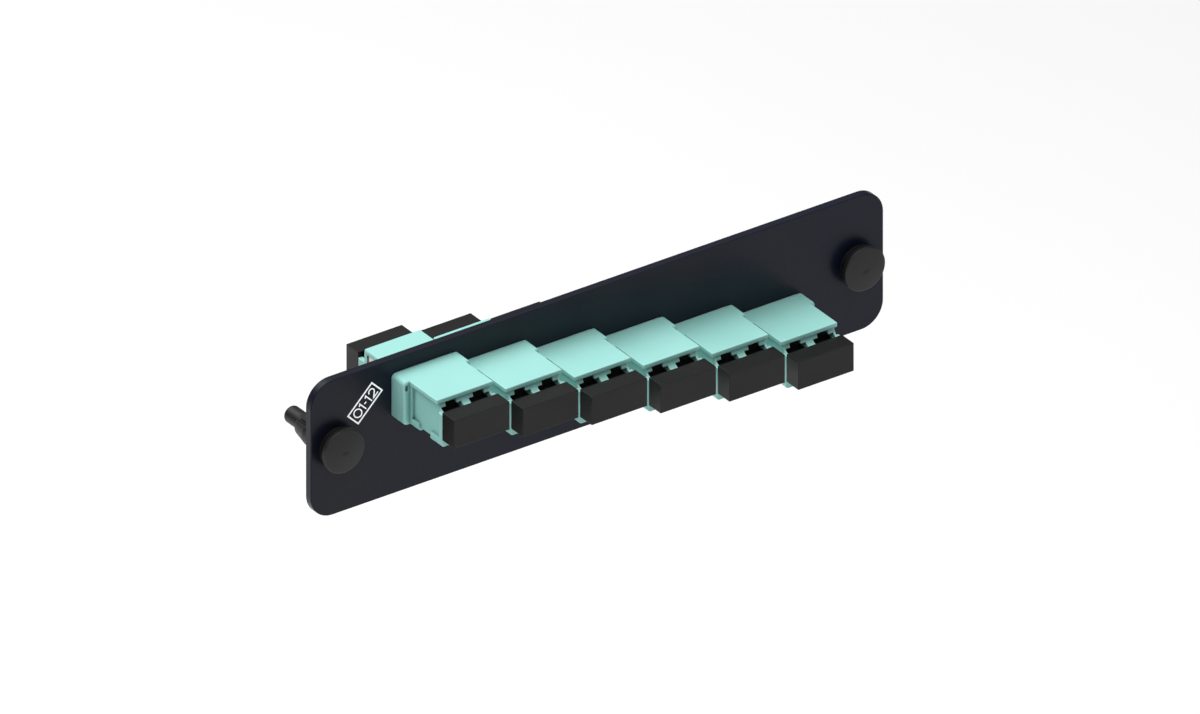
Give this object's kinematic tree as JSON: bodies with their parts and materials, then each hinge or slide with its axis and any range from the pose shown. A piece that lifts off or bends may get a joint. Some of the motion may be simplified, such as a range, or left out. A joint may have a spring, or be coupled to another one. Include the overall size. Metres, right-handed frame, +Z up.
{
  "type": "fibre adapter pack",
  "caption": "Slim upright front plate with a stepped row of duplex fibre adapters, dust plugs front and rear, and a push-pull latch at each end.",
  "frame": {"origin": "middle of the plate's back face", "axes": "+X along the plate to the viewer's right, +Z up, +Y to the rear; the front faces -Y"},
  "size_m": [0.1304, 0.0351, 0.029],
  "materials": {
    "plate": "satin powder coat",
    "print": "screen-printed ink",
    "adapter": "moulded, satin",
    "clip": "stamped stainless",
    "sleeve": "ground ceramic",
    "plug": "soft matt moulding",
    "latch": "moulded, satin"
  },
  "bodies": {
    "panel": {"adapter_plate": "plate", "port_number_print": "print", "front_housing_1": "adapter", "rear_housing_1": "adapter", "retaining_clip_1": "clip", "left_sleeve_1": "sleeve", "right_sleeve_1": "sleeve", "front_housing_2": "adapter", "rear_housing_2": "adapter", "retaining_clip_2": "clip", "left_sleeve_2": "sleeve", "right_sleeve_2": "sleeve", "front_housing_3": "adapter", "rear_housing_3": "adapter", "retaining_clip_3": "clip", "left_sleeve_3": "sleeve", "right_sleeve_3": "sleeve", "front_housing_4": "adapter", "rear_housing_4": "adapter", "retaining_clip_4": "clip", "left_sleeve_4": "sleeve", "right_sleeve_4": "sleeve", "front_housing_5": "adapter", "rear_housing_5": "adapter", "retaining_clip_5": "clip", "left_sleeve_5": "sleeve", "right_sleeve_5": "sleeve", "front_housing_6": "adapter", "rear_housing_6": "adapter", "retaining_clip_6": "clip", "left_sleeve_6": "sleeve", "right_sleeve_6": "sleeve", "left_latch_grommet": "latch", "right_latch_grommet": "latch"},
    "front_plug_1": {"front_dust_plug_1": "plug"},
    "rear_plug_1": {"rear_dust_plug_1": "plug"},
    "front_plug_2": {"front_dust_plug_2": "plug"},
    "rear_plug_2": {"rear_dust_plug_2": "plug"},
    "front_plug_3": {"front_dust_plug_3": "plug"},
    "rear_plug_3": {"rear_dust_plug_3": "plug"},
    "front_plug_4": {"front_dust_plug_4": "plug"},
    "rear_plug_4": {"rear_dust_plug_4": "plug"},
    "front_plug_5": {"front_dust_plug_5": "plug"},
    "rear_plug_5": {"rear_dust_plug_5": "plug"},
    "front_plug_6": {"front_dust_plug_6": "plug"},
    "rear_plug_6": {"rear_dust_plug_6": "plug"},
    "left_plunger": {"left_latch_plunger": "latch"},
    "right_plunger": {"right_latch_plunger": "latch"}
  },
  "joints": [
    {"name": "front_plug_1_pull", "type": "slide", "parent": "panel", "child": "front_plug_1", "axis": [0, -1, 0], "range_m": [0, 0.01]},
    {"name": "rear_plug_1_pull", "type": "slide", "parent": "panel", "child": "rear_plug_1", "axis": [0, 1, 0], "range_m": [0, 0.01]},
    {"name": "front_plug_2_pull", "type": "slide", "parent": "panel", "child": "front_plug_2", "axis": [0, -1, 0], "range_m": [0, 0.01]},
    {"name": "rear_plug_2_pull", "type": "slide", "parent": "panel", "child": "rear_plug_2", "axis": [0, 1, 0], "range_m": [0, 0.01]},
    {"name": "front_plug_3_pull", "type": "slide", "parent": "panel", "child": "front_plug_3", "axis": [0, -1, 0], "range_m": [0, 0.01]},
    {"name": "rear_plug_3_pull", "type": "slide", "parent": "panel", "child": "rear_plug_3", "axis": [0, 1, 0], "range_m": [0, 0.01]},
    {"name": "front_plug_4_pull", "type": "slide", "parent": "panel", "child": "front_plug_4", "axis": [0, -1, 0], "range_m": [0, 0.01]},
    {"name": "rear_plug_4_pull", "type": "slide", "parent": "panel", "child": "rear_plug_4", "axis": [0, 1, 0], "range_m": [0, 0.01]},
    {"name": "front_plug_5_pull", "type": "slide", "parent": "panel", "child": "front_plug_5", "axis": [0, -1, 0], "range_m": [0, 0.01]},
    {"name": "rear_plug_5_pull", "type": "slide", "parent": "panel", "child": "rear_plug_5", "axis": [0, 1, 0], "range_m": [0, 0.01]},
    {"name": "front_plug_6_pull", "type": "slide", "parent": "panel", "child": "front_plug_6", "axis": [0, -1, 0], "range_m": [0, 0.01]},
    {"name": "rear_plug_6_pull", "type": "slide", "parent": "panel", "child": "rear_plug_6", "axis": [0, 1, 0], "range_m": [0, 0.01]},
    {"name": "left_plunger_pull", "type": "slide", "parent": "panel", "child": "left_plunger", "axis": [0, -1, 0], "range_m": [0, 0.005]},
    {"name": "right_plunger_pull", "type": "slide", "parent": "panel", "child": "right_plunger", "axis": [0, -1, 0], "range_m": [0, 0.005]}
  ]
}
